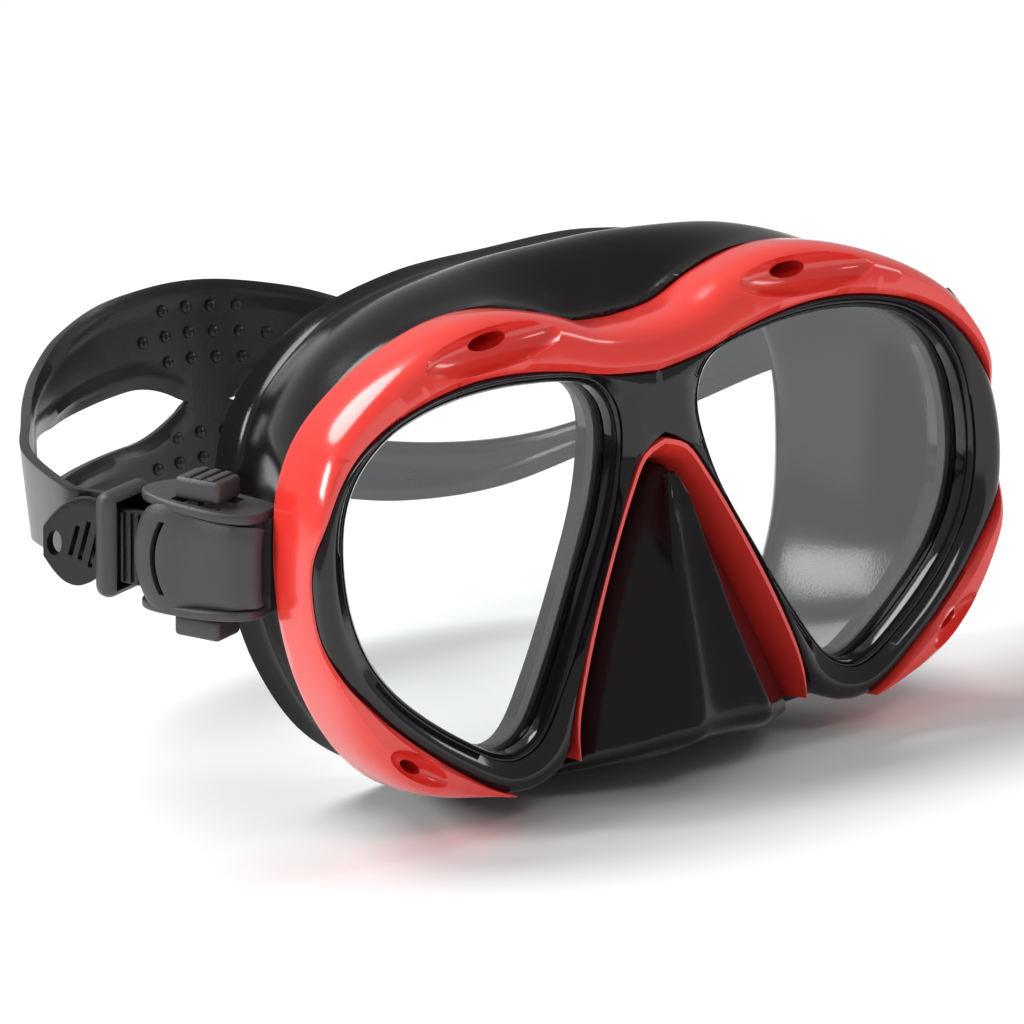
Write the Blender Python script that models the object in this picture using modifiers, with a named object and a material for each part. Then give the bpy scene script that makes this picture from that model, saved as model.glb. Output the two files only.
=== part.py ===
"""Two-lens diving mask with a split-back strap and a swivelling quick-adjust buckle on each side.

Metres, +Z up, the lenses face -Y and the strap runs back along +Y.
"""
import math
import bmesh
import bpy
from mathutils import Matrix, Vector

MM = 0.001
GAP = 0.3

# Outlines in the lens plane, right half, millimetres (x, z), from the centre top round to the nose arch.
FRAME_EDGE = [(0, 40.5), (9, 41.3), (18, 44.8), (27, 47.6), (35, 48.4), (44, 47.6), (53, 45), (62, 41),
              (70, 36), (76.5, 30), (81, 22.5), (83.3, 13), (83.8, 3), (83.2, -8), (81, -18),
              (77.5, -27), (72.5, -34.5), (66, -39.8), (58, -42.4), (48, -44), (38, -45), (27.5, -45)]
ARCH_INNER = [(27.5, -45), (24, -35), (20, -24.5), (15.5, -13.5), (11, -3.5), (7, 4.5), (3.5, 10.5),
              (0, 12.5)]
ARCH_OUTER = [(33, -44.6), (31, -40), (27.3, -31), (22.8, -19.5), (18.3, -9), (13.8, 0.5), (9.3, 9),
              (5, 15.3), (0, 17.5)]
BEZEL_EDGE = [(0, 31), (12, 32.6), (22, 35.2), (32, 36.9), (42, 37.3), (52, 36), (62, 33), (70, 28.6),
              (76, 22.5), (79.8, 15), (81.4, 6), (81.2, -3), (79, -12), (74.5, -19.5), (69, -25.6),
              (62, -32), (55, -37.5), (48.5, -42), (45, -44.4)]
BEZEL_FOOT = [(45, -44.4), (33, -44.6)]
LENS_EDGE = [(30, 33.8), (38, 34.2), (46, 33.8), (54, 32.4), (62, 29.5), (69, 24), (73, 17), (74.6, 8),
             (74.2, -2), (71.5, -11), (66.5, -19), (59.5, -26), (51, -32.5), (45, -36), (40, -36.6),
             (34.5, -33.5), (28.5, -24), (20.5, -8.5), (14, 5), (10.6, 17), (10.6, 24.5), (14, 30),
             (20, 32.4)]
SKIRT_MID = [(0, 53), (20, 52.6), (40, 50), (58, 42), (69, 30), (72.5, 14), (72, -6), (68.5, -24),
             (58, -40), (42, -49), (22, -52), (0, -52)]
SKIRT_FACE = [(0, 49), (22, 48.5), (44, 43), (60, 31), (66.5, 15), (66, -4), (62, -22), (53, -38),
              (38, -49), (20, -52), (0, -52)]

FRAME_FRONT = -1.5
FRAME_BACK = 14.5
BEZEL_BACK = 11.2
LENS_FRONT = 5.7
LENS_THICK = 3.2
LENS_LAP = 1.5
GASKET = (9.2, 11.0)
SKIRT_FRONT = 14.8
SKIRT_WALL = 2.2
SKIRT_DEPTHS = (14.8, 30.0, 56.0)
POCKET_FRONT = -16.0

BROW_SLOT = dict(centre=(37.5, 42.6), length=28.0, width=5.4, tilt=-7.0, hole=(7.0, 2.2))
CORNER_SLOT = dict(centre=(65.0, -34.6), length=14.0, width=5.0, tilt=37.0, hole=(4.5, 2.6))

# Buckle, millimetres in its own axes: s back along the strap, n outward, t up, from the swivel pin.
PIN_AT = (84.6, 20.6, 8.7)
SPLAY = 25.0
RISE = 8.0
PIN_R = 1.2
BODY_HALF = 12.6
BODY_PLATE = 2.3
BODY_LENGTH = 22.0
BODY_BASE = (-6.0, -4.3)
BODY_LIP = 5.0
COVER = (5.9, 7.9)
COVER_HALF = 9.9
ROLLER_AT = (14.0, 0.9)
ROLLER_R = 2.2
AXLE_R = 0.9
PAWL_PIN = (6.0, 2.4)
PAWL_PIN_R = 0.8
BUTTON_S = (3.6, 13.2)
BUTTON_RISE = 4.0
BUTTON_TRAVEL = 1.6
KEEPER_S = (26.0, 30.0)
KEEPER_HALF = 10.8
STRAP_THICK = 2.0
STRAP_HALF = 7.3
STRAP_SEAM = 41.0
TAIL_END = 39.0

# Rear strap centreline, (x, y, z, half height) from the pad centre round to a buckle. The soft band
# hangs lower on the left.
STRAP_CENTRE = (0, 172, 8.5, 23.5)
STRAP_PATH = {
    -1: [(22, 169, 9, 23.5), (40, 160.5, 9, 20.5), (55, 146, 10, 16.5), (68, 128, 12, 13.5),
         (81, 107, 14, 11), (93, 86, 15, 9)],
    1: [(22, 169, 4.5, 23.5), (40, 161, 0, 22), (57, 148, -0.5, 19.5), (71, 129, 3, 15.5),
        (83, 107, 9, 12), (94, 86, 13.5, 9.2)],
}
STRAP_SLOT_HALF = 5.6
STRAP_SLOT_DROP = 2.5

for old in list(bpy.data.objects):
    bpy.data.objects.remove(old, do_unlink=True)

part = bpy.data.collections.new("diving_mask")
tools = bpy.data.collections.new("cutters")
bpy.context.scene.collection.children.link(part)
bpy.context.scene.collection.children.link(tools)


def material(name, colour, roughness, metallic=0.0, alpha=1.0):
    mat = bpy.data.materials.new(name)
    mat.use_nodes = True
    shader = mat.node_tree.nodes["Principled BSDF"]
    shader.inputs["Base Color"].default_value = (*colour, 1.0)
    shader.inputs["Roughness"].default_value = roughness
    shader.inputs["Metallic"].default_value = metallic
    shader.inputs["Alpha"].default_value = alpha
    return mat


def smooth(points, steps=6):
    """Open Catmull-Rom curve through the points."""
    ends = [points[0]] + list(points) + [points[-1]]
    out = []
    for a, b, c, d in zip(ends, ends[1:], ends[2:], ends[3:]):
        for k in range(steps):
            t = k / steps
            out.append(tuple(
                0.5 * (2 * q + (r - p) * t + (2 * p - 5 * q + 4 * r - w) * t ** 2
                       + (3 * q - p - 3 * r + w) * t ** 3)
                for p, q, r, w in zip(a, b, c, d)))
    out.append(tuple(points[-1]))
    return out


def spaced(points, count):
    """Points at equal steps along an open curve, both ends kept."""
    lengths = [0.0]
    for a, b in zip(points, points[1:]):
        lengths.append(lengths[-1] + math.dist(a, b))
    out = []
    for k in range(count):
        want = lengths[-1] * k / (count - 1)
        i = 0
        while i < len(lengths) - 2 and lengths[i + 1] < want:
            i += 1
        t = (want - lengths[i]) / (lengths[i + 1] - lengths[i])
        out.append(tuple(p + (q - p) * t for p, q in zip(points[i], points[i + 1])))
    return out


def mirrored(half):
    """Closed outline from a right half that starts and ends on x = 0."""
    return half + [(-x, z) for x, z in reversed(half[1:-1])]


def offset(outline, distance):
    """Closed outline grown outward by a small distance."""
    area = sum(a[0] * b[1] - b[0] * a[1] for a, b in zip(outline, outline[1:] + outline[:1]))
    turn = 1.0 if area > 0 else -1.0
    out = []
    for before, at, after in zip(outline[-1:] + outline[:-1], outline, outline[1:] + outline[:1]):
        along = Vector((after[0] - before[0], after[1] - before[1])).normalized()
        out.append((at[0] + along.y * distance * turn, at[1] - along.x * distance * turn))
    return out


def finish(name, bm, mat, collection, origin=(0, 0, 0)):
    """Turn a bmesh in millimetres into an object whose origin is given in millimetres."""
    bmesh.ops.recalc_face_normals(bm, faces=bm.faces)
    mesh = bpy.data.meshes.new(name)
    bm.transform(Matrix.Scale(MM, 4) @ Matrix.Translation(-Vector(origin)))
    bm.to_mesh(mesh)
    bm.free()
    obj = bpy.data.objects.new(name, mesh)
    obj.location = Vector(origin) * MM
    collection.objects.link(obj)
    if mat:
        mesh.materials.append(mat)
    if collection is tools:
        obj.hide_render = True
        obj.display_type = "WIRE"
    return obj


def loft(rings, bm=None):
    """Closed solid through rings of equal point count, end faces filled."""
    bm = bm or bmesh.new()
    rows = [[bm.verts.new(p) for p in ring] for ring in rings]
    count = len(rows[0])
    for low, high in zip(rows, rows[1:]):
        for i in range(count):
            j = (i + 1) % count
            bm.faces.new((low[i], low[j], high[j], high[i]))
    bm.faces.new(list(reversed(rows[0])))
    bm.faces.new(rows[-1])
    return bm


def plate(outline, front, back):
    return loft([[(x, y, z) for x, z in outline] for y in (front, back)])


def cut(target, name, bm, operation="DIFFERENCE"):
    cutter = finish(name, bm, None, tools)
    mod = target.modifiers.new(name, "BOOLEAN")
    mod.operation = operation
    mod.solver = "EXACT"
    mod.object = cutter


def soften(target, width, segments=2, angle=40):
    mod = target.modifiers.new("soften", "BEVEL")
    mod.width = width * MM
    mod.segments = segments
    mod.limit_method = "ANGLE"
    mod.angle_limit = math.radians(angle)


def oval(centre, length, width, tilt, side, count=20):
    """Rounded slot outline, tilted, on the side +1 or -1."""
    half = length / 2 - width / 2
    out = []
    for k in range(count):
        a = 2 * math.pi * k / count
        x = math.cos(a) * width / 2 + (half if math.cos(a) > 0 else -half)
        z = math.sin(a) * width / 2
        c, s = math.cos(math.radians(tilt)), math.sin(math.radians(tilt))
        out.append((side * (centre[0] + x * c - z * s), centre[1] + x * s + z * c))
    return out


RED = material("red_gloss", (0.72, 0.03, 0.02), 0.18)
GLOSS = material("black_gloss", (0.012, 0.012, 0.014), 0.12)
GLASS = material("clear_glass", (0.9, 0.93, 0.93), 0.02, alpha=0.25)
SILICONE = material("black_silicone", (0.02, 0.02, 0.022), 0.3)
MATTE = material("dark_nylon", (0.05, 0.05, 0.055), 0.5)
SOFT = material("soft_gasket", (0.03, 0.03, 0.03), 0.6)
STEEL = material("stainless", (0.6, 0.6, 0.6), 0.3, metallic=1.0)

arch_in = spaced(smooth(ARCH_INNER), 30)
frame_outline = mirrored(spaced(smooth(FRAME_EDGE), 64) + arch_in[1:])
bezel_half = spaced(smooth(BEZEL_EDGE), 56) + spaced(BEZEL_FOOT, 4)[1:] + spaced(smooth(ARCH_OUTER), 30)[1:]
bezel_outline = mirrored(bezel_half)
lens_outline = spaced(smooth(LENS_EDGE + LENS_EDGE[:1], 5), 65)[:-1]
lens_side = {1: lens_outline, -1: [(-x, z) for x, z in reversed(lens_outline)]}

# Frame: one moulding with a channel for the bezel, a back plate, four recesses and two buckle lugs.
frame = finish("main_frame", plate(frame_outline, FRAME_FRONT, FRAME_BACK), RED, part)
cut(frame, "bezel_channel", plate(offset(bezel_outline, GAP), -6, BEZEL_BACK + GAP))
for side, outline in lens_side.items():
    cut(frame, f"sight_hole_{side}", plate(outline, 8, 20))
    for number, slot in enumerate((BROW_SLOT, CORNER_SLOT)):
        centre, tilt = slot["centre"], slot["tilt"]
        recess = oval(centre, slot["length"], slot["width"], tilt, side)
        cut(frame, f"recess_{number}_{side}", plate(recess, -6, 4))
        hole = oval(centre, *slot["hole"], tilt, side, 12)
        cut(frame, f"through_{number}_{side}", plate(hole, 2, 20))

bezel = finish("front_bezel", plate(bezel_outline, 0, BEZEL_BACK), GLOSS, part)
for side, outline in lens_side.items():
    cut(bezel, f"lens_window_{side}", plate(outline, -5, 8))
    cut(bezel, f"lens_seat_{side}", plate(offset(outline, LENS_LAP), LENS_FRONT - GAP, 15))

SIDE_NAME = {1: "left", -1: "right"}
for side, outline in lens_side.items():
    word = SIDE_NAME[side]
    edge = offset(outline, LENS_LAP - GAP)
    lens = finish(f"lens_{word}", plate(edge, LENS_FRONT, LENS_FRONT + LENS_THICK), GLASS, part)
    gasket = finish(f"lens_gasket_{word}", plate(edge, *GASKET), SOFT, part)
    cut(gasket, f"gasket_hole_{side}", plate(offset(outline, -0.4), 5, 15))

# Skirt: a hollow bell behind the frame with two sight holes and a nose pocket through the arch.
flange = [(x * 0.925, z * 0.985 + 0.8) for x, z in smooth(FRAME_EDGE)][:-1]
flange = flange[:-4] + [(22, -46), (0, -46)]
sections = [mirrored(spaced(flange, 40))]
sections += [mirrored(spaced(smooth(half), 40)) for half in (SKIRT_MID, SKIRT_FACE)]
bell = [[(x, y, z) for x, z in ring] for ring, y in zip(sections, SKIRT_DEPTHS)]
skirt = finish("skirt", loft(bell), SILICONE, part)
hollow_depths = (SKIRT_FRONT + SKIRT_WALL, SKIRT_DEPTHS[1], SKIRT_DEPTHS[2] + 1)
hollow = [[(x, y, z) for x, z in offset(ring, -SKIRT_WALL)] for ring, y in zip(sections, hollow_depths)]
pocket_base = mirrored(spaced(arch_in[::-1], 24)[:-1] + [(24, -44.6), (12, -45), (0, -45)])
pocket_base = offset(pocket_base, -1.0)


def pocket_rings(shrink, lift, front, back):
    """Nose pocket solid; the inner one is the same shape drawn in and lifted off the floor."""
    base = [(x * shrink, -45 + lift + (z + 45) * (shrink - 0.01)) for x, z in pocket_base]
    tip = [(x * 0.42 * shrink, -37.5 + lift + (z + 45) * 0.36 * shrink) for x, z in pocket_base]
    return [[(x, y, z) for x, z in ring] for ring, y in ((base, back), (base, -1.0), (tip, front))]


cut(skirt, "pocket_outer", loft(pocket_rings(1.0, 0.0, POCKET_FRONT, 16.0)), "UNION")
cut(skirt, "bell_hollow", loft(hollow))
cut(skirt, "pocket_hollow", loft(pocket_rings(0.88, 1.8, POCKET_FRONT + 2, 20.0)))
for side, outline in lens_side.items():
    cut(skirt, f"skirt_window_{side}", plate(offset(outline, 0.3), 10, 19))


def buckle_frame(side):
    """Matrix from buckle axes (s, n, t) in millimetres to the mask, and its swivel point."""
    splay, rise = math.radians(SPLAY), math.radians(RISE)
    along = Vector((side * math.sin(splay) * math.cos(rise), math.cos(splay) * math.cos(rise),
                    math.sin(rise)))
    out = Vector((side * math.cos(splay), -math.sin(splay), 0))
    up = along.cross(out) * -side
    up = up if up.z > 0 else -up
    pin = Vector((side * PIN_AT[0], PIN_AT[1], PIN_AT[2]))
    return Matrix((
        (along.x, out.x, up.x, pin.x),
        (along.y, out.y, up.y, pin.y),
        (along.z, out.z, up.z, pin.z),
        (0, 0, 0, 1))), pin


def prism(outline, low, high):
    """Solid from an (s, n) outline between two heights."""
    return loft([[(s, n, t) for s, n in outline] for t in (low, high)])


def block(s, n, t):
    return prism([(s[0], n[0]), (s[1], n[0]), (s[1], n[1]), (s[0], n[1])], t[0], t[1])


def round_outline(centre, radius, count=20):
    return [(centre[0] + radius * math.cos(2 * math.pi * k / count),
             centre[1] + radius * math.sin(2 * math.pi * k / count)) for k in range(count)]


def ribbon(path, thick, heights):
    """Band of given thickness along a path in the (s, n) plane; heights are (low, high) pairs."""
    rings = []
    for i, (s, n) in enumerate(path):
        a, b = path[max(i - 1, 0)], path[min(i + 1, len(path) - 1)]
        along = Vector((b[0] - a[0], b[1] - a[1])).normalized()
        left = Vector((-along.y, along.x)) * thick / 2
        low, high = heights[i]
        rings.append([(s + left.x, n + left.y, low), (s - left.x, n - left.y, low),
                      (s - left.x, n - left.y, high), (s + left.x, n + left.y, high)])
    return loft(rings)


def threaded_path():
    """Strap end: in along the base, round the roller, out to the tail."""
    s0, n0 = ROLLER_AT
    turn = ROLLER_R + GAP + STRAP_THICK / 2
    path = [(STRAP_SEAM - (STRAP_SEAM - s0) * k / 6, n0 - turn) for k in range(6)]
    path += [(s0 - turn * math.sin(a), n0 - turn * math.cos(a))
             for a in (math.pi * k / 12 for k in range(13))]
    length = TAIL_END - s0
    path += [(s0 + length * k / 10, n0 + turn + max(0, k - 7) ** 2 * 0.22) for k in range(1, 11)]
    return path


for side in (1, -1):
    word = SIDE_NAME[side]
    axes, pin = buckle_frame(side)

    def place(name, bm, mat, at=(0, 0, 0)):
        bm.transform(axes)
        if axes.determinant() < 0:
            bmesh.ops.reverse_faces(bm, faces=bm.faces)
        return finish(f"{name}_{word}", bm, mat, part, tuple(axes @ Vector(at)))

    def trim(target, label, bm, operation="DIFFERENCE"):
        bm.transform(axes)
        cutter = finish(f"{label}_{word}", bm, None, tools, tuple(pin))
        mod = target.modifiers.new(label, "BOOLEAN")
        mod.operation = operation
        mod.solver = "EXACT"
        mod.object = cutter

    barrel = PIN_R + 1.8
    lug_half = BODY_HALF - BODY_PLATE - GAP
    lug = place("buckle_lug", prism(round_outline((0, 0), barrel), -lug_half, lug_half), MATTE)
    trim(lug, "lug_web", block((-4.9, 0), (-2.9, -0.2), (-lug_half + 1, lug_half - 1)), "UNION")
    trim(lug, "lug_bore", prism(round_outline((0, 0), PIN_R + GAP), -20, 20))
    place("hinge_pin", prism(round_outline((0, 0), PIN_R), -BODY_HALF + 0.2, BODY_HALF - 0.2), STEEL)

    profile = [(-4.2, -2.0), (-2.0, BODY_BASE[0]), (BODY_LENGTH - 2, BODY_BASE[0]),
               (BODY_LENGTH, BODY_BASE[0] + 2), (BODY_LENGTH, 2.0), (BODY_LENGTH - 3, BODY_LIP),
               (0.0, BODY_LIP), (-4.2, 2.5)]
    body = place("buckle_body", prism(profile, -BODY_HALF, BODY_HALF), MATTE)
    inner = BODY_HALF - BODY_PLATE
    clear = [(-10, -20), (4.6, -20), (4.6, BODY_BASE[1]), (40, BODY_BASE[1]), (40, 20), (-10, 20)]
    trim(body, "strap_space", prism(clear, -inner, inner))
    trim(body, "body_pin_hole", prism(round_outline((0, 0), PIN_R + GAP), -30, 30))
    trim(body, "body_axle_hole", prism(round_outline(ROLLER_AT, AXLE_R + GAP), -30, 30))
    trim(body, "body_pawl_hole", prism(round_outline(PAWL_PIN, PAWL_PIN_R + GAP), -30, 30))
    trim(body, "body_button_hole", block((8.6, 11.4), (1.6, 4.2), (-30, 30)))

    cover_path = [(-5.2, 2.6), (0.4, 6.9), (7, 7.0), (14, 7.0), (20.5, 6.6)]
    cover_path = [(s, n) for s, n in spaced(smooth(cover_path, 5), 12)]
    spread = [COVER_HALF - 0.2 - (0.0 if s < 14 else (s - 14) ** 2 * 0.075) for s, n in cover_path]
    cover = place("buckle_cover", ribbon(cover_path, 1.8, [(-h, h) for h in spread]), MATTE)
    trim(cover, "cover_slot", block((15.0, 16.4), (2, 12), (-6.5, 6.5)))

    roller = place("strap_roller", prism(round_outline(ROLLER_AT, ROLLER_R, 24), -9.8, 9.8), MATTE,
                   (*ROLLER_AT, 0))
    trim(roller, "roller_bore", prism(round_outline(ROLLER_AT, AXLE_R + GAP), -20, 20))
    axle = prism(round_outline(ROLLER_AT, AXLE_R, 16), -BODY_HALF + 0.2, BODY_HALF - 0.2)
    place("roller_pin", axle, STEEL, (*ROLLER_AT, 0))

    s0, n0 = PAWL_PIN
    pawl_shape = [(s0 - 2.0, n0 - 1.7), (s0 + 1.9, n0 - 1.7), (s0 + 3.0, n0 - 0.4), (s0 + 1.2, n0 + 1.9),
                  (s0 - 2.0, n0 + 1.7)]
    pawl = place("ratchet_pawl", prism(pawl_shape, -8.0, 8.0), MATTE, (*PAWL_PIN, 0))
    trim(pawl, "pawl_bore", prism(round_outline(PAWL_PIN, PAWL_PIN_R + GAP), -20, 20))
    pawl_axle = prism(round_outline(PAWL_PIN, PAWL_PIN_R, 16), -BODY_HALF + 0.2, BODY_HALF - 0.2)
    place("pawl_pin", pawl_axle, STEEL, (*PAWL_PIN, 0))
    leaf = [(3.4, 4.9), (6.0, 5.1), (9.0, 5.3), (10.6, 5.4)]
    place("pawl_spring", ribbon(leaf, 0.4, [(-4.0, 4.0)] * 4), STEEL)

    for face, label in ((1, "upper"), (-1, "lower")):
        foot = BODY_HALF + GAP + BUTTON_TRAVEL
        top = foot + BUTTON_RISE
        mids = ((BUTTON_S[0], foot), (BUTTON_S[1], foot), (BUTTON_S[1] - 1.0, top), (BUTTON_S[0] + 2.5, top))
        shape = [[(s, n, face * t) for s, t in mids] for n in (-2.5, 4.4)]
        button = place(f"{label}_button", loft(shape), MATTE, (10.0, 2.9, face * foot))
        stem = block((8.9, 11.1), (1.9, 3.9), sorted((face * (BODY_HALF - 1.8), face * (foot + 0.5))))
        trim(button, f"{label}_stem", stem, "UNION")

    low, high = KEEPER_S
    ring_out = block((low, high), (-7.2, 8.4), (-KEEPER_HALF, KEEPER_HALF))
    keeper = place("strap_keeper", ring_out, MATTE, ((low + high) / 2, 0, 0))
    hole = block((low - 2, high + 2), (-5.0, 6.2), (-KEEPER_HALF + 2, KEEPER_HALF - 2))
    trim(keeper, "keeper_hole", hole)
    soften(keeper, 0.8)

    path = threaded_path()
    heights = [(-STRAP_HALF, STRAP_HALF)] * (len(path) - 4)
    heights += [(-9.5, 7.6), (-10.5, 7.6), (-9.5, 6.0), (-6.0, 3.0)]
    strap_end = place("strap_end", ribbon(path, STRAP_THICK, heights), SILICONE)
    trim(strap_end, "tail_slot", block((31.8, 33.2), (2, 12), (-4.5, 5.5)))

# Rear strap: one band from buckle to buckle, widened to a pad and split by two slots at the back.
joint_n = ROLLER_AT[1] - ROLLER_R - GAP - STRAP_THICK / 2
strap_path = [STRAP_CENTRE]
for side in (-1, 1):
    end = buckle_frame(side)[0] @ Vector((STRAP_SEAM + 1.5, joint_n, 0))
    half_path = [(side * x, y, z, h) for x, y, z, h in STRAP_PATH[side]] + [(*end, STRAP_HALF)]
    strap_path = half_path[::-1] + strap_path if side < 0 else strap_path + half_path
line = spaced(smooth(strap_path, 8), 87)
rows = []
for i, (x, y, z, h) in enumerate(line):
    a, b = line[max(i - 1, 0)], line[min(i + 1, len(line) - 1)]
    along = Vector((b[0] - a[0], b[1] - a[1], 0)).normalized()
    out = Vector((-along.y, along.x, 0)) * STRAP_THICK / 2
    rows.append([(x + out.x, y + out.y, z - h), (x - out.x, y - out.y, z - h),
                 (x - out.x, y - out.y, z + h), (x + out.x, y + out.y, z + h)])
strap = finish("strap", loft(rows), SILICONE, part)
for side in (1, -1):
    slot = [p for p in line if 8.0 < side * p[0] and p[1] > 118.0]
    slot = slot if side > 0 else slot[::-1]
    rings = []
    for k, (x, y, z, h) in enumerate(slot):
        t = k / (len(slot) - 1)
        tall = 0.6 + STRAP_SLOT_HALF * math.sin(math.pi * min(1.0, 0.04 + 0.92 * t)) ** 0.7
        near = Vector((x, y - 60, 0)).normalized() * 6
        low, high = z - STRAP_SLOT_DROP - tall, z - STRAP_SLOT_DROP + tall
        rings.append([(x - near.x, y - near.y, low), (x + near.x, y + near.y, low),
                      (x + near.x, y + near.y, high), (x - near.x, y - near.y, high)])
    cut(strap, f"strap_split_{side}", loft(rings))

# Stand the mask on z = 0 with its overall box centred over the origin.
BASE = Vector((0, -78.5, 52.0)) * MM
for obj in list(part.objects) + list(tools.objects):
    obj.location = obj.location + BASE
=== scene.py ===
import math
import bmesh
import bpy
from mathutils import Matrix, Vector


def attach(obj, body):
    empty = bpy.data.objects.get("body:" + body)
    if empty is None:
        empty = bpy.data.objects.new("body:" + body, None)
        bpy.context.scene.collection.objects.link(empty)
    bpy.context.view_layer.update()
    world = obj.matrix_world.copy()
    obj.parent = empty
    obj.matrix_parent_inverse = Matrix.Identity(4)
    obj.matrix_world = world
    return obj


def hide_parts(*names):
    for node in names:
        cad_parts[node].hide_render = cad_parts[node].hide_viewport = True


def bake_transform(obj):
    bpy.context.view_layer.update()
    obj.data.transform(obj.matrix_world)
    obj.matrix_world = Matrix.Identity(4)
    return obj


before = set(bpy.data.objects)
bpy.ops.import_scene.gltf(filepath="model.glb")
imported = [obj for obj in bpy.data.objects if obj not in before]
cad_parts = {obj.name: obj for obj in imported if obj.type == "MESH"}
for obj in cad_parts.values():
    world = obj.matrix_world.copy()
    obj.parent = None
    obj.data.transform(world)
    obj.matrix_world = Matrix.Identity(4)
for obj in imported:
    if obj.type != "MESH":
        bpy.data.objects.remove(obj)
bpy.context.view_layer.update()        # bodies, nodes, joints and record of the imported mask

mm = 0.001
maskOrigin = Vector((0, -78.5, 52.0))        # mm: the lens plane's own zero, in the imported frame
sideWord = {1: "left", -1: "right"}


def deselectAll():
    for item in list(bpy.context.selected_objects):
        item.select_set(False)


deselectAll()


# Curves through given points, all in millimetres

def curveThrough(points, count, closed=False):
    ring = list(points)
    ends = [ring[-1]] + ring + ring[:2] if closed else [ring[0]] + ring + [ring[-1]]
    dense = []
    for a, b, c, d in zip(ends, ends[1:], ends[2:], ends[3:]):
        for k in range(10):
            t = k / 10
            dense.append(tuple(
                0.5 * (2 * q + (r - p) * t + (2 * p - 5 * q + 4 * r - w) * t ** 2
                       + (3 * q - p - 3 * r + w) * t ** 3)
                for p, q, r, w in zip(a, b, c, d)))
    if not closed:
        dense.append(tuple(ring[-1]))
        return evenSteps(dense, count)
    return evenSteps(dense + dense[:1], count + 1)[:-1]


def evenSteps(dense, count):
    runs = [0.0]
    for a, b in zip(dense, dense[1:]):
        runs.append(runs[-1] + math.dist(a, b))
    out, i = [], 0
    for k in range(count):
        want = runs[-1] * k / (count - 1)
        while i < len(runs) - 2 and runs[i + 1] < want:
            i += 1
        t = (want - runs[i]) / max(1e-9, runs[i + 1] - runs[i])
        out.append(tuple(p + (q - p) * t for p, q in zip(dense[i], dense[i + 1])))
    return out


def mirrorHalf(half):
    return half + [(-x, *rest) for x, *rest in reversed(half[1:-1])]


# Distance from a centre to a closed outline, along one direction
def rayHit(outline, centre, angle):
    dx, dz = math.cos(angle), math.sin(angle)
    best = 0.0
    for (ax, az), (bx, bz) in zip(outline, outline[1:] + outline[:1]):
        ex, ez = bx - ax, bz - az
        det = ex * dz - ez * dx
        if abs(det) < 1e-9:
            continue
        px, pz = ax - centre[0], az - centre[1]
        along = (ex * pz - ez * px) / det
        part = (dx * pz - dz * px) / det
        if along > 0 and -1e-6 <= part <= 1 + 1e-6:
            best = max(best, along)
    return best


# Making and finishing a piece

def pieceFrom(name, build):
    mesh = bpy.data.meshes.new(name)
    build.to_mesh(mesh)
    build.free()
    piece = bpy.data.objects.new(name, mesh)
    bpy.context.scene.collection.objects.link(piece)
    return piece


def rowsToMesh(name, rows, closedRows=False, closedAlong=False, capEnds=False, place=None):
    build = bmesh.new()
    grid = [[build.verts.new(point) for point in row] for row in rows]
    across = len(grid[0])
    pairs = list(zip(grid, grid[1:] + (grid[:1] if closedAlong else [])))
    for low, high in pairs:
        for i in range(across if closedRows else across - 1):
            j = (i + 1) % across
            build.faces.new((low[i], low[j], high[j], high[i]))
    if capEnds:
        build.faces.new(grid[0][::-1])
        build.faces.new(grid[-1])
    return settle(pieceFrom(name, build), place)


# From millimetres on the mask, or on a buckle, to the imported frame
def settle(piece, place=None):
    if place is not None:
        piece.data.transform(place)
        if place.determinant() < 0:
            piece.data.flip_normals()
    piece.data.transform(Matrix.Scale(mm, 4) @ Matrix.Translation(maskOrigin))
    return piece


def pick(piece):
    deselectAll()
    piece.select_set(True)
    bpy.context.view_layer.objects.active = piece
    return piece


def applied(piece, kind, **settings):
    pick(piece)
    modifier = piece.modifiers.new(kind.title(), kind)
    for key, value in settings.items():
        setattr(modifier, key, value)
    bpy.ops.object.modifier_apply(modifier=modifier.name)
    return piece


def thicken(piece, thickness, side=-1):
    return applied(piece, "SOLIDIFY", thickness=thickness, offset=side, use_even_offset=False)


def rounded(piece, width, segments=2, angle=35):
    return applied(piece, "BEVEL", width=width, segments=segments, limit_method="ANGLE",
                   angle_limit=math.radians(angle), harden_normals=False)


def carved(piece, cutter, operation="DIFFERENCE"):
    applied(piece, "BOOLEAN", operation=operation, solver="EXACT", object=cutter)
    bpy.data.objects.remove(cutter)
    return piece


def joined(piece, others):
    pick(piece)
    for other in others:
        other.select_set(True)
    bpy.ops.object.join()
    return piece


def merged(piece, distance=0.00001):
    pick(piece)
    bpy.ops.object.mode_set(mode="EDIT")
    bpy.ops.mesh.select_all(action="SELECT")
    bpy.ops.mesh.remove_doubles(threshold=distance)
    bpy.ops.mesh.normals_make_consistent(inside=False)
    bpy.ops.object.mode_set(mode="OBJECT")
    return piece


def smoothed(piece, angle=35):
    pick(piece)
    bpy.ops.object.shade_smooth_by_angle(angle=math.radians(angle))
    return piece


# Finishes

class Amount:
    def __init__(self, finish, socket):
        self.finish = finish
        self.socket = socket

    def maths(self, operation, first, second):
        node = self.finish.node("ShaderNodeMath", {"operation": operation}, {0: first, 1: second})
        return Amount(self.finish, node.outputs[0])

    def __add__(self, other):
        return self.maths("ADD", self, other)

    def __mul__(self, other):
        return self.maths("MULTIPLY", self, other)

    def __rsub__(self, other):
        return self.maths("SUBTRACT", other, self)

    __radd__ = __add__
    __rmul__ = __mul__


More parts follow.
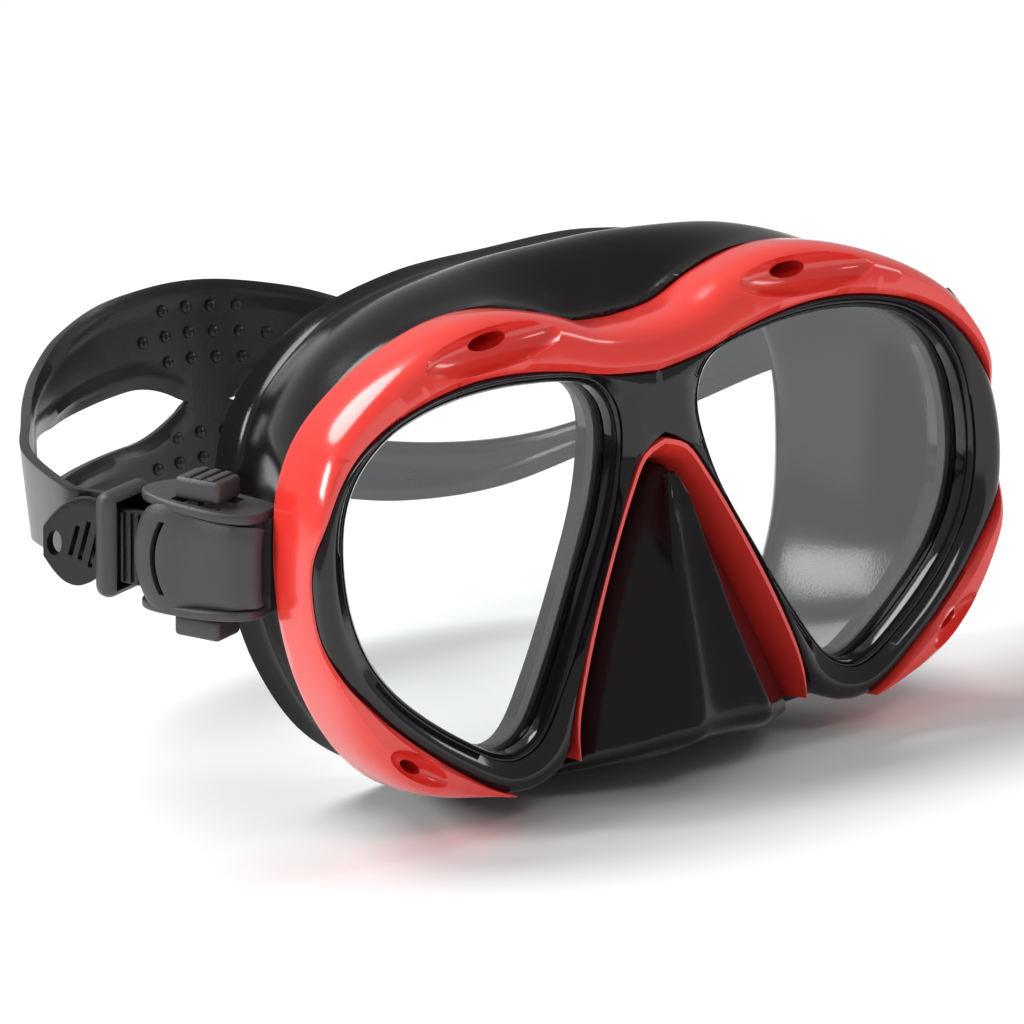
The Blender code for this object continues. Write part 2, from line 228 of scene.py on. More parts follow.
class Finish:
    def __init__(self, name, **shaderValues):
        self.material = bpy.data.materials.new(name)
        self.material.use_nodes = True
        self.tree = self.material.node_tree
        self.shader = self.tree.nodes["Principled BSDF"]
        self.output = self.tree.nodes["Material Output"]
        self.place = self.node("ShaderNodeTexCoord", {}, {}).outputs["Object"]
        for key, value in shaderValues.items():
            self.shader.inputs[key.replace("_", " ")].default_value = value

    def node(self, kind, settings, sockets):
        made = self.tree.nodes.new(kind)
        for key, value in settings.items():
            setattr(made, key, value)
        for key, value in sockets.items():
            self.feed(made.inputs[key], value)
        return made

    def feed(self, socket, value):
        value = value.socket if isinstance(value, Amount) else value
        if isinstance(value, bpy.types.NodeSocket):
            self.tree.links.new(value, socket)
        else:
            socket.default_value = value

    def noise(self, scale, detail):
        made = self.node("ShaderNodeTexNoise", {}, {"Vector": self.place, "Scale": scale,
                                                    "Detail": detail, "Roughness": 0.55})
        return Amount(self, made.outputs[0])

    def blend(self, amount, low, high):
        made = self.node("ShaderNodeMix", {"data_type": "RGBA"},
                         {0: amount, 6: (*low, 1), 7: (*high, 1)})
        return made.outputs[2]

    def grain(self, height, strength, distance):
        made = self.node("ShaderNodeBump", {}, {"Height": height, "Strength": strength,
                                                "Distance": distance})
        self.feed(self.shader.inputs["Normal"], made.outputs[0])


# A moulded finish: patchy colour, uneven gloss and a fine surface grain
def moulded(name, low, high, rough, grainSize, grainDepth, patch=30, **shaderValues):
    finish = Finish(name, **shaderValues)
    cloud = finish.noise(patch, 4)
    fine = finish.noise(grainSize, 2)
    smoothest, roughest = rough
    gloss = cloud * (roughest - smoothest) + smoothest + fine * 0.02
    finish.feed(finish.shader.inputs["Base Color"], finish.blend(cloud, low, high))
    finish.feed(finish.shader.inputs["Roughness"], gloss)
    finish.grain(fine + cloud * 0.4, *grainDepth)
    return finish


finishes = {
    "redLacquer": moulded("redLacquer", (0.74, 0.028, 0.022), (0.86, 0.05, 0.036), (0.14, 0.24), 900,
                          (0.06, 0.0002), Coat_Weight=0.5, Coat_Roughness=0.06),
    "pianoBlack": moulded("pianoBlack", (0.004, 0.003, 0.004), (0.009, 0.007, 0.009), (0.05, 0.13), 1100,
                          (0.04, 0.0002), Coat_Weight=0.2, Coat_Roughness=0.04, Specular_IOR_Level=0.38),
    "siliconeSkin": moulded("siliconeSkin", (0.004, 0.003, 0.004), (0.009, 0.007, 0.0085), (0.11, 0.20), 1500,
                            (0.07, 0.0002), patch=45, Specular_IOR_Level=0.3),
    "strapSilicone": moulded("strapSilicone", (0.005, 0.004, 0.005), (0.013, 0.010, 0.012), (0.22, 0.36), 1500,
                             (0.14, 0.0003), patch=60, Specular_IOR_Level=0.45),
    "nylonGrain": moulded("nylonGrain", (0.036, 0.033, 0.038), (0.056, 0.052, 0.058), (0.36, 0.50), 2600,
                          (0.35, 0.0002), patch=90),
    "gasketFoam": moulded("gasketFoam", (0.02, 0.02, 0.022), (0.05, 0.05, 0.052), (0.6, 0.8), 3000,
                          (0.4, 0.0003), patch=200),
    "steelBrushed": moulded("steelBrushed", (0.45, 0.45, 0.46), (0.62, 0.62, 0.63), (0.22, 0.36), 1600,
                            (0.2, 0.0001), patch=150, Metallic=1.0),
}


def glassFinish():
    finish = Finish("lensGlass", Metallic=1.0)
    smear = finish.noise(25, 3)
    tint = finish.blend(smear, (0.80, 0.83, 0.84), (0.9, 0.92, 0.93))
    finish.feed(finish.shader.inputs["Base Color"], tint)
    finish.feed(finish.shader.inputs["Roughness"], smear * 0.04 + 0.01)
    fresnel = finish.node("ShaderNodeFresnel", {}, {"IOR": 1.5})
    clear = finish.node("ShaderNodeBsdfTransparent", {}, {"Color": (0.97, 0.985, 0.98, 1)})
    inside = Amount(finish, finish.node("ShaderNodeNewGeometry", {}, {}).outputs["Backfacing"])
    share = (Amount(finish, fresnel.outputs[0]) * 1.7 + 0.03) * (1 - inside)      # front faces only
    mix = finish.node("ShaderNodeMixShader", {}, {0: share, 1: clear.outputs[0],
                                                  2: finish.shader.outputs[0]})
    finish.tree.links.new(mix.outputs[0], finish.output.inputs["Surface"])
    return finish


finishes["lensGlass"] = glassFinish()


def coat(piece, finishName):
    piece.data.materials.clear()
    piece.data.materials.append(finishes[finishName].material)
    return piece


def publish(piece, finishName, body, *nodes):
    coat(piece, finishName)
    if body:
        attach(piece, body)
    if nodes:
        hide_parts(*nodes)
    return piece


keptNodes = {"lens_": "lensGlass", "lens_gasket": "gasketFoam", "hinge_pin": "steelBrushed",
             "roller_pin": "steelBrushed", "pawl_pin": "steelBrushed", "pawl_spring": "steelBrushed",
             "buckle_lug": "nylonGrain", "strap_roller": "nylonGrain", "ratchet_pawl": "nylonGrain"}
for nodeName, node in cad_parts.items():
    for start, finishName in keptNodes.items():
        if nodeName.startswith(start):
            for slot in node.material_slots:
                slot.material = finishes[finishName].material
print("finishes made")


# Red frame: one outer band over the brow and round both corners, and a nose arch

redFrame = {
    "band": [(0, 31, 0, 40.5), (12, 32.6, 10, 41.5), (22, 35.2, 20, 45.5), (32, 36.9, 31.5, 48.2),
             (42, 37.3, 43, 47.8), (52, 36, 55, 44.2), (62, 33, 66.5, 38.5), (70, 28.6, 75, 31.5),
             (76, 22.5, 80.0, 23), (80.2, 14.5, 82.0, 14.3), (82.0, 5.5, 83.0, 5), (81.8, -4, 82.8, -5),
             (79.4, -13.0, 81.0, -15.0), (74.5, -19.5, 77.4, -24.6), (69, -25.6, 72.3, -32.8),
             (62, -32, 65.6, -39.0), (55, -37.5, 57.5, -42.6), (48.5, -42, 49.5, -44.1),
             (44, -44.2, 44.1, -44.9)],
    "bandSection": [(0, -0.3), (0.12, -1.4), (0.3, -2.1), (0.55, -1.5), (0.8, 0.6), (0.94, 3.6), (1, 7.5),
                    (0.98, 14.6)],
    "arch": [(0, 11.6, 0, 17.6), (3.5, 9.7, 5.2, 15.4), (7, 4.5, 9.3, 9), (11, -3.5, 13.8, 0.5),
             (15.5, -13.5, 18.3, -9), (20, -24.5, 22.8, -19.5), (23.7, -34, 26.6, -30.4),
             (25.4, -38.6, 27.7, -36.6), (26.6, -41.8, 27.6, -41.4)],
    "archSection": [(0, 9.8), (0.14, 6.8), (0.33, 4.0), (0.52, 2.0), (0.68, 0.6), (0.83, -0.5), (0.93, -0.5),
                    (1, 0.6)],
    "back": 14.6,
    "sink": {"depth": 4.2, "height": 1.5, "reach": 13, "beyond": 70},     # the bezel stands proud here
    "browDish": {"centre": (37.0, -2.9, 43.2), "size": (17.5, 7.2, 4.5), "tilt": 4.0},
    "browSlot": {"centre": (36.0, 6, 43.6), "size": (4.4, 14, 1.7), "tilt": 4.0},
    "cornerDish": {"centre": (65.3, -2.6, -34.0), "size": (7.6, 5.0, 2.7), "tilt": -37.0},
    "cornerSlot": {"centre": (65.3, 4, -34.0), "size": (2.6, 12, 1.1), "tilt": -37.0},
}


def bandRows(pairs, count, section, back):
    line = curveThrough(pairs, count)
    line = [(-a, b, -c, d) for a, b, c, d in reversed(line[1:])] + line
    front = curveThrough(section, 15)
    sink = redFrame["sink"]
    rows = []
    for xi, zi, xo, zo in line:
        sunk = 0.0
        if abs(xi) > sink["beyond"]:
            sunk = sink["depth"] * math.exp(-((zi - sink["height"]) / sink["reach"]) ** 4)
        row = []
        for f, y in front:
            depth = min(y + sunk, back - 1) if y < back else y
            row.append((xi + f * (xo - xi), depth, zi + f * (zo - zi)))
        rows.append(row + [(xi, back, zi)])
    return rows


def ovalCutter(shape, side):
    deselectAll()
    bpy.ops.mesh.primitive_uv_sphere_add(segments=32, ring_count=16, radius=1)
    cutter = bpy.context.active_object
    x, y, z = shape["centre"]
    turn = Matrix.Rotation(math.radians(shape["tilt"]) * side, 4, "Y")
    stretch = Matrix.Diagonal((*shape["size"], 1))
    cutter.data.transform(Matrix.Translation((side * x, y, z)) @ turn @ stretch)
    return settle(cutter)


def makeFrame():
    back = redFrame["back"]
    bandShape = bandRows(redFrame["band"], 110, redFrame["bandSection"], back)
    band = merged(rowsToMesh("red_band", bandShape, closedRows=True, capEnds=True))
    archShape = bandRows(redFrame["arch"], 40, redFrame["archSection"], back)
    arch = merged(rowsToMesh("nose_arch", archShape, closedRows=True, capEnds=True))
    for side in (1, -1):
        for key in ("browDish", "browSlot", "cornerDish", "cornerSlot"):
            carved(band, ovalCutter(redFrame[key], side))
    rounded(band, 0.00045, 2, 50)
    for piece in (band, arch):
        publish(smoothed(piece, 40), "redLacquer", "mask", "main_frame")
    print("red frame made")


# Rings between two outlines seen from one centre

ringCentre = (42, 0)


def ringAngles(corners, count):
    angles = [2 * math.pi * k / count for k in range(count)]
    for x, z in corners:
        exact = math.atan2(z - ringCentre[1], x - ringCentre[0]) % (2 * math.pi)
        nearest = min(range(len(angles)), key=lambda k: abs(angles[k] - exact))
        angles[nearest] = exact
    return angles


lensEdge = [(30, 33.8), (38, 34.2), (46, 33.8), (54, 32.4), (62, 29.5), (69, 24), (73, 17), (74.6, 8),
            (74.2, -2), (71.5, -11), (66.5, -19), (59.5, -26), (51, -32.5), (45, -36), (40, -36.6),
            (34.5, -33.5), (28.5, -24), (20.5, -8.5), (14, 5), (10.6, 17), (10.6, 24.5), (14, 30),
            (20, 32.4)]
lensLine = curveThrough(lensEdge, 200, closed=True)
archOuter = [(c, d) for a, b, c, d in redFrame["arch"]]
archInner = [(a, b) for a, b, c, d in redFrame["arch"]]
bezelFoot = [(39.5, -44.6), (35.2, -43.8), (31.6, -42.0), (29.2, -39.4)]
bezelLine = (curveThrough([(a, b) for a, b, c, d in redFrame["band"]], 120) + bezelFoot
             + curveThrough(archOuter[:-2][::-1], 50))

blackBezel = {
    "lip": [(0.3, 14.7), (0.3, 11.3), (1.5, 11.3), (1.5, 5.4), (0, 5.4), (0, 2.7), (0.25, 1.9), (0.9, 1.15),
            (1.1, 1.45), (1.4, 1.45), (1.6, 0.95)],
    "crown": [(0.28, 0.1), (0.42, -0.35), (0.58, -0.55), (0.74, -0.4), (0.87, 0.05), (0.95, 0.5),
              (1.0, 1.2), (1.0, 14.7)],
}


def ringRows(inner, outer, corners, lip, crown, count=180):
    rows = []
    for angle in ringAngles(corners, count):
        near, far = rayHit(inner, ringCentre, angle), rayHit(outer, ringCentre, angle)
        dx, dz = math.cos(angle), math.sin(angle)
        bridge = max(0.0, 1 - abs(ringCentre[0] + far * dx) / 2.0)
        steps = [(near + reach, y) for reach, y in lip]
        start = near + max(0.0, lip[-1][0])
        for share, y in crown:
            flat = y if y > 5 else min(y, -0.5)
            steps.append((start + share * (far - start), y + (flat - y) * bridge))
        rows.append([(ringCentre[0] + reach * dx, y, ringCentre[1] + reach * dz) for reach, y in steps])
    return rows


# The left half and its mirror, welded on the middle line
def bothHalves(name, rows):
    onMiddle = 0.02
    halves = []
    for side in (1, -1):
        build = bmesh.new()
        grid = [[build.verts.new((side * x, y, z)) for x, y, z in row] for row in rows]
        for low, high in zip(grid, grid[1:] + grid[:1]):
            for i in range(len(low)):
                j = (i + 1) % len(low)
                corners = (low[i], low[j], high[j], high[i])
                if any(abs(corner.co.x) >= onMiddle for corner in corners):
                    build.faces.new(corners)
        for vertex in build.verts:
            if abs(vertex.co.x) < onMiddle:
                vertex.co.x = 0
        halves.append(settle(pieceFrom(name, build)))
    return merged(joined(halves[0], halves[1:]))


def makeBezel():
    corners = [(0, 31), (0, 17.5)]
    rows = ringRows(lensLine, bezelLine, corners, blackBezel["lip"], blackBezel["crown"])
    bezel = bothHalves("lens_bezel", rows)
    publish(smoothed(bezel, 38), "pianoBlack", "mask", "front_bezel")
    print("bezel made")


# Silicone skirt: front wall, bell with a turned lip, and the nose pocket

softSkirt = {
    "flange": [(0, 41.2), (9, 41.6), (17.5, 44.9), (26, 47.6), (34, 48.2), (43, 47.2), (51, 44.6), (58.5, 40.6),
               (65.5, 35.4), (71, 29.4), (75, 22), (77, 13), (77.5, 3), (77, -8), (75, -18), (71.5, -26.5),
               (67, -34), (61, -39.4), (53.5, -42.4), (43, -45), (27.5, -46), (0, -46.5)],
    "middle": [(0, 53), (20, 52.6), (40, 50), (58, 42), (69, 30), (72.5, 14), (72, -6), (68.5, -24),
               (58, -40), (42, -49), (22, -51.6), (0, -51.8)],
    "face": [(0, 49), (22, 48.5), (44, 43), (60, 31), (66.5, 15), (66, -4), (62, -22), (53, -38), (38, -48.6),
             (20, -51.8), (0, -51.8)],
    "depths": [15.0, 18.0, 31.0, 50.0],
    "wall": 0.0021,
}


def bell():
    rings = []
    for key in ("flange", "flange", "middle", "face"):
        rings.append(mirrorHalf(curveThrough(softSkirt[key], 90)))
    keys = [[(x, y, z) for x, z in ring] for ring, y in zip(rings, softSkirt["depths"])]
    keys[1] = [(x * 1.01, y, z * 1.012) for x, y, z in keys[1]]
    lip = [(x * 1.018, 54.0, z + (0.6 if z > 0 else 0)) for x, y, z in keys[-1]]
    turned = [(x * 1.045, 55.9, z * (1.022 if z > 0 else 1)) for x, y, z in keys[-1]]
    keys += [lip, turned]
    columns = [curveThrough([ring[i] for ring in keys], 26) for i in range(len(keys[0]))]
    return [[column[k] for column in columns] for k in range(26)]


pocketRidge = [((0.8, 3.0, 11.6), (0.7, -1.6, 10.6)), ((3.6, 5.0, 9.4), (2.3, -3.6, 6.0)),
               ((7, 6.0, 3.4), (3.5, -5.2, -1.5)), ((11, 6.0, -4.5), (4.8, -7.2, -10)),
               ((15.5, 6.0, -14.5), (6.2, -9.4, -19)), ((20, 6.0, -25.5), (7.8, -11.6, -27.5)),
               ((24, 6.0, -35.8), (9.2, -13.3, -34)), ((26, 6.0, -41.8), (9.9, -13.9, -37.2)),
               ((26.6, 6.4, -43.8), (10.3, -13.4, -39.2)), ((26.9, 7.5, -44.8), (11.6, -10.6, -40.9)),
               ((27.2, 9.5, -45.6), (14.8, -4, -43.4)), ((27.4, 12.0, -46.1), (19.5, 4, -45.4)),
               ((27.5, 15.2, -46.3), (22.5, 15.2, -46.3))]


def makeSkirt():
    shell = rowsToMesh("skirt_bell", bell(), closedRows=True)
    wallOutline = curveThrough(softSkirt["flange"][:-1], 120) + curveThrough(archInner[::-1], 50)
    wallCorners = [(0, 41.2), (0, 12.5), (27.5, -45), (27.5, -46)]
    front = softSkirt["depths"][0]
    rows = ringRows(lensLine, wallOutline, wallCorners, [(1.6, front)], [(0.5, front), (1.0, front)])
    walls = []
    for side in (1, -1):
        half = [[(side * x, y, z) for x, y, z in row] for row in rows]
        walls.append(rowsToMesh("wall", half, closedAlong=True))
    pocket = []
    for row in curveThrough([(*b, *f) for b, f in pocketRidge], 44):
        bx, by, bz, fx, fy, fz = row
        hollow = min(1.6, 0.16 * fx)
        flank = (bx * 0.55 + fx * 0.45 - 0.8, by * 0.5 + fy * 0.5, bz * 0.55 + fz * 0.45)
        side = [(bx, by + 9, bz), (bx, by, bz), flank,
                (fx + 0.5, fy + 1.6, fz), (fx * 0.93, fy + 0.1, fz), (fx * 0.72, fy - 0.1, fz),
                (fx * 0.4, fy + hollow * 0.7, fz), (0, fy + hollow, fz)]
        pocket.append(curveThrough([(-x, y, z) for x, y, z in side] + side[-2::-1], 61))
    nose = rowsToMesh("nose_pocket", pocket)
    skirt = joined(shell, walls + [nose])
    skirt.name = "face_skirt"
    merged(skirt, 0.0002)
    thicken(skirt, softSkirt["wall"], -1)
    publish(smoothed(skirt, 50), "siliconeSkin", "mask", "skirt")
    print("skirt made")


makeFrame()
makeBezel()
makeSkirt()


# Rear strap: two halves that meet at the middle of the back, each split into two padded bands

rearStrap = {
    "centre": (0, 172, 8.5, 23.5),
    "path": {-1: [(22, 169, 9, 23.5), (40, 160.5, 9, 20.5), (55, 146, 10, 16.5), (68, 128, 12, 13.5),
                  (81, 107, 14, 11), (93, 86, 15, 9)],
             1: [(22, 169, 3.5, 23.3), (40, 161, -2.2, 21.4), (57, 148, -3.6, 18.8), (71, 129, 0.5, 15),
                 (83, 107, 7.5, 11.8), (94, 86, 13.2, 9.2)]},
    "thickness": 0.0020,
    "splitHalf": 6.0,
    "splitDrop": 2.5,
    "splitFrom": 6.0,          # mm off the middle, and how far forward the slot runs
    "splitTo": 112.0,
    "rimRise": 0.9,
    "studRadius": 1.35,
    "studPitch": (6.2, 5.6),
}
buckle = {
    "pin": (84.6, 20.6, 8.7),
    "splay": 25,
    "rise": 8,
    "roller": (14, 0.9),
    "catch": (6, 2.4),
    "strapRun": -2.6,
    "seam": 28.0,              # mm behind the swivel pin, where the strap meets its end
    "blendFrom": 60,
    "blendTo": 34,
}


def buckleAxes(side):
    splay, rise = math.radians(buckle["splay"]), math.radians(buckle["rise"])
    along = Vector((side * math.sin(splay) * math.cos(rise), math.cos(splay) * math.cos(rise), math.sin(rise)))
    out = Vector((side * math.cos(splay), -math.sin(splay), 0))
    up = along.cross(out)
    up = up if up.z > 0 else -up
    pin = Vector((side * buckle["pin"][0], buckle["pin"][1], buckle["pin"][2]))
    return Matrix((
        (along.x, out.x, up.x, pin.x), (along.y, out.y, up.y, pin.y), (along.z, out.z, up.z, pin.z),
        (0, 0, 0, 1)))


def strapLine():
    ends = {}
    for side in (-1, 1):
        axes = buckleAxes(side)
        half = [(side * x, y, z, h) for x, y, z, h in rearStrap["path"][side]]
        for s, h in ((42.5, 7.6), (36.0, 7.3), (buckle["seam"], 7.2)):
            half.append((*(axes @ Vector((s, buckle["strapRun"], 0))), h))
        ends[side] = half
    return curveThrough(ends[-1][::-1] + [rearStrap["centre"]] + ends[1], 241)


# Heights of the two bands about the centreline: lower edge, slot and upper edge
def bandEdges(point):
    x, y, z, half = point
    reach = (y - rearStrap["splitTo"]) / (172 - rearStrap["splitTo"])
    fade = 0.0
    if abs(x) > rearStrap["splitFrom"] and reach > 0:
        fade = min(1.0, (abs(x) - rearStrap["splitFrom"]) / 16) * min(1.0, reach / 0.25)
    gap = rearStrap["splitHalf"] * math.sin(math.pi / 2 * fade) ** 0.8
    drop = rearStrap["splitDrop"] * min(1.0, max(0.0, (half - 9) / 8))
    return -half, -drop - gap, -drop + gap, half


def strapRows():
    line = strapLine()
    rows = []
    for i, point in enumerate(line):
        x, y, z, half = point
        a, b = line[max(i - 1, 0)], line[min(i + 1, len(line) - 1)]
        out = Vector((a[1] - b[1], b[0] - a[0], 0)).normalized()        # away from the head
        low, under, over, high = bandEdges(point)
        full = min(1.0, max(0.0, (half - 9) / 8))
        row = []
        for start, end in ((low, under), (over, high)):
            for k in range(14):
                height = start + (end - start) * k / 13
                reach = min(height - start, end - height)
                if over - under < 1.2:
                    reach = min(height - low, high - height)
                rim = rearStrap["rimRise"] * math.exp(-((reach - 2.4) / 0.9) ** 2) * full
                row.append((x - out.x * rim, y - out.y * rim, z + height))
        rows.append(row)
    return rows


def strapMesh():
    build = bmesh.new()
    grid = [[build.verts.new(point) for point in row] for row in strapRows()]
    across = len(grid[0])
    for low, high in zip(grid, grid[1:]):
        for i in range(across - 1):
            if i != across // 2 - 1:
                build.faces.new((low[i], low[i + 1], high[i + 1], high[i]))
    return build


# Raised grip studs on the face towards the head, rows of four, six and four in each band
def studs(side):
    line = strapLine()
    pitchAcross, pitchUp = rearStrap["studPitch"]
    drop = rearStrap["splitDrop"]
    made = []
    for band in (1, -1):
        for row, count in ((-1, 4), (0, 6), (1, 4)):
            for k in range(count):
                across = (k - (count - 1) / 2) * pitchAcross
                if across * side < 0:
                    continue
                point = min(line, key=lambda point: abs(point[0] - across))
                low, under, over, high = bandEdges(point)
                middle = (high - drop + 4) / 2 if band > 0 else (low - drop - 4) / 2
                height = point[2] + middle + row * pitchUp
                deselectAll()
                bpy.ops.mesh.primitive_uv_sphere_add(segments=14, ring_count=8,
                                                     radius=rearStrap["studRadius"])
                stud = bpy.context.active_object
                stud.data.transform(Matrix.Translation((across, point[1] - 1.0, height))
                                    @ Matrix.Diagonal((1, 0.8, 1, 1)))
                made.append(settle(stud))
    return made


def makeStraps():
    whole = settle(pieceFrom("rear_strap", strapMesh()))
    merged(whole, 0.00003)
    thicken(whole, rearStrap["thickness"], 0)
    rounded(whole, 0.0004, 2, 60)
    for side in (1, -1):
        strap = whole.copy()
        strap.data = whole.data.copy()
        bpy.context.scene.collection.objects.link(strap)
        strap.name = f"rear_strap_{sideWord[side]}"
        pick(strap)
        bpy.ops.object.mode_set(mode="EDIT")
        bpy.ops.mesh.select_all(action="SELECT")
        bpy.ops.mesh.bisect(plane_co=(0, 0, 0), plane_no=(1, 0, 0), use_fill=True,
                            clear_inner=side > 0, clear_outer=side < 0)
        bpy.ops.object.mode_set(mode="OBJECT")
        smoothed(strap, 50)
        joined(strap, studs(side))
        axes = buckleAxes(side)
        publish(strap, "strapSilicone", None, "strap")
        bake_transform(strap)
    bpy.data.objects.remove(whole)
    print("rear strap made")


# Strap ends: in under the base, round the roller, out to a leaf-shaped pull tab

strapEnd = {
    "half": 7.3,
    "thickness": 1.9,
    "turn": 3.5,               # radius of the path round the roller
    "tab": [(31, 4.4, -7.4, 7.4), (33, 4.7, -8.6, 8.2), (35.5, 5.3, -9.4, 8.0), (38, 6.2, -8.6, 6.6),
            (40, 7.2, -6.4, 4.6), (41.6, 8.2, -3.6, 2.2)],
    "tabSlots": [(31.6, -1.5, 5.2), (33.7, -0.2, 5.8), (35.7, 0.6, 4.8)],
    "ribs": 7,
}


def tabPath():
    s0, n0 = buckle["roller"]
    turn, half, seam = strapEnd["turn"], strapEnd["half"], buckle["seam"]
    path = [(seam - (seam - s0) * k / 5, n0 - turn, -half, half) for k in range(5)]
    path += [(s0 - turn * math.sin(a), n0 - turn * math.cos(a), -half, half)
             for a in (math.pi * k / 10 for k in range(11))]
    path += [(s0 + k, n0 + turn, -half, half) for k in (3, 6, 9, 12, 15)]
    return curveThrough(path + strapEnd["tab"], 90)


# A band of even thickness along a path in the buckle's own plane
def slab(name, path, thickness, place):
    rows = []
    for i, (s, n, low, high) in enumerate(path):
        a, b = path[max(i - 1, 0)], path[min(i + 1, len(path) - 1)]
        lean = Vector((a[1] - b[1], b[0] - a[0])).normalized() * thickness / 2
        heights = [low + (high - low) * k / 8 for k in range(9)]
        rows.append([(s + lean.x, n + lean.y, t) for t in heights]
                    + [(s - lean.x, n - lean.y, t) for t in reversed(heights)])
    return rowsToMesh(name, rows, closedRows=True, capEnds=True, place=place)


# A cube primitive set between two corners, softened, in buckle axes
def block(low, high, place, turn=None, bevel=0.0, segments=2):
    deselectAll()
    bpy.ops.mesh.primitive_cube_add(size=1)
    cube = bpy.context.active_object
    size = [b - a for a, b in zip(low, high)]
    centre = Vector([(a + b) / 2 for a, b in zip(low, high)])
    stretch = Matrix.Diagonal((*size, 1))
    cube.data.transform(Matrix.Translation(centre) @ (turn or Matrix.Identity(4)) @ stretch)
    if bevel:
        applied(cube, "BEVEL", width=bevel, segments=segments, limit_method="NONE")
    return settle(cube, place)


def makeStrapEnds():
    for side in (1, -1):
        axes, word = buckleAxes(side), sideWord[side]
        tab = slab(f"strap_tab_{word}", tabPath(), strapEnd["thickness"], axes)
        merged(tab)
        for s, low, high in strapEnd["tabSlots"]:
            lean = Matrix.Rotation(math.radians(-14), 4, "Y")
            carved(tab, block((s - 0.45, 0, low - 4), (s + 0.45, 12, high - 2), axes, lean))
        eye = ovalTool((39.3, 7.2, -1.0), (1.3, 4, 2.6), axes)
        carved(tab, eye)
        rounded(tab, 0.0004, 2, 50)
        ribs = []
        for k in range(strapEnd["ribs"]):
            s = 19.5 + k * 1.7
            ribs.append(block((s, 5.1, -7.0), (s + 0.8, 6.0, 7.0), axes, bevel=0.2))
        joined(tab, ribs)
        publish(smoothed(tab, 40), "strapSilicone", f"buckle_{word}", f"strap_end_{word}")
    print("strap ends made")


def ovalTool(centre, size, place):
    deselectAll()
    bpy.ops.mesh.primitive_uv_sphere_add(segments=24, ring_count=12, radius=1)
    tool = bpy.context.active_object
    tool.data.transform(Matrix.Translation(centre) @ Matrix.Diagonal((*size, 1)))
    return settle(tool, place)


# Buckles

buckleShape = {
    "plateTop": [(-4.2, 2.2), (-2.4, 5.6), (3, 7.6), (12, 7.6), (19, 6.0), (22, 3.5), (22.5, 0), (21, -4),
                 (18, -6), (-1.8, -5.6), (-4.1, -2.2)],
    "coverRows": [(-5.0, 3.2, 7.6), (-4.5, 4.6, 8.0), (-2.6, 6.0, 8.2), (-0.4, 7.2, 8.4), (3, 7.5, 8.7),
                  (7, 7.6, 9.2), (10, 7.8, 9.9), (12.5, 8.2, 10.5), (15, 8.4, 10.7), (17.3, 8.3, 10.1),
                  (19.2, 8.0, 8.5), (20.7, 7.5, 6.0), (21.5, 7.0, 2.8)],
    "coverWall": 0.0019,
    "plateInner": 8.7,
    "plateOuter": 10.7,
    "plateFlare": 0.055,
    "pocketFloor": 9.6,
    "keyFoot": 11.5,
    "keyRise": 4.4,
    "stemFoot": 10.2,
    "crescent": {"middle": 14.4, "bow": 2.0, "reach": 7.3, "half": 0.65},
    "keeper": {"s": (25.6, 30.6), "n": (-7.0, 8.2), "t": 10.6, "wall": 1.7},
}


def prismAlong(name, outline, low, high, place):
    return rowsToMesh(name, [[(s, n, t) for s, n in outline] for t in (low, high)], closedRows=True,
                      capEnds=True, place=place)


# Base, rear sill and two flared cheeks with a pocket for each key
def makeBody(axes, word):
    shape = buckleShape
    outline = curveThrough(shape["plateTop"], 48, closed=True)
    floor = shape["pocketFloor"]
    cheeks = []
    for face in (1, -1):
        low, high = sorted((face * shape["plateInner"], face * shape["plateOuter"]))
        cheek = merged(prismAlong("cheek", outline, low, high, None))
        cheek.data.transform(Matrix.Scale(1 / mm, 4))
        cheek.data.transform(Matrix.Translation(-maskOrigin))
        for vertex in cheek.data.vertices:
            vertex.co.z += face * shape["plateFlare"] * vertex.co.x
        settle(cheek, axes)
        rounded(cheek, 0.0006, 3, 50)
        low, high = sorted((face * floor, face * 20))
        cheeks.append(carved(cheek, block((3.0, -3.6, low), (14.0, 5.9, high), axes)))
    base = block((4.8, -6.1, -9.2), (20.5, -4.4, 9.2), axes, bevel=0.5)
    sill = block((21.2, -5.6, -9.0), (22.2, -4.6, 9.0), axes, bevel=0.3)
    frameBody = joined(cheeks[0], [cheeks[1], base, sill])
    frameBody.name = f"buckle_frame_{word}"
    publish(smoothed(frameBody, 40), "nylonGrain", f"buckle_{word}", f"buckle_body_{word}")


# The crowned cover, with a crescent slot through it
def makeCover(axes, word):
    shape = buckleShape
    rows = []
    for s, n, half in curveThrough(shape["coverRows"], 40):
        shares = [k / 10 - 1 for k in range(21)]
        rows.append([(s, n - 1.1 * abs(share) ** 5, share * half) for share in shares])
    cover = merged(rowsToMesh(f"buckle_shell_{word}", rows, place=axes))
    outward = (axes.to_3x3() @ Vector((0, 1, 0))).normalized()
    average = Vector((0, 0, 0))
    for face in cover.data.polygons:
        average += face.normal * face.area
    if average.dot(outward) < 0:
        cover.data.flip_normals()
    thicken(cover, shape["coverWall"], -1)
    cut = shape["crescent"]
    crescent = []
    for k in range(15):
        share = k / 7 - 1
        crescent.append((cut["middle"] + cut["bow"] * (1 - share * share), share * cut["reach"]))
    half = cut["half"]
    loop = [(s - half, t) for s, t in crescent] + [(s + half, t) for s, t in reversed(crescent)]
    tool = rowsToMesh("crescent", [[(s, n, t) for s, t in loop] for n in (3, 12)], closedRows=True,
                      capEnds=True, place=axes)
    carved(cover, merged(tool))
    rounded(cover, 0.0005, 2, 40)
    publish(smoothed(cover, 40), "nylonGrain", f"buckle_{word}", f"buckle_cover_{word}")


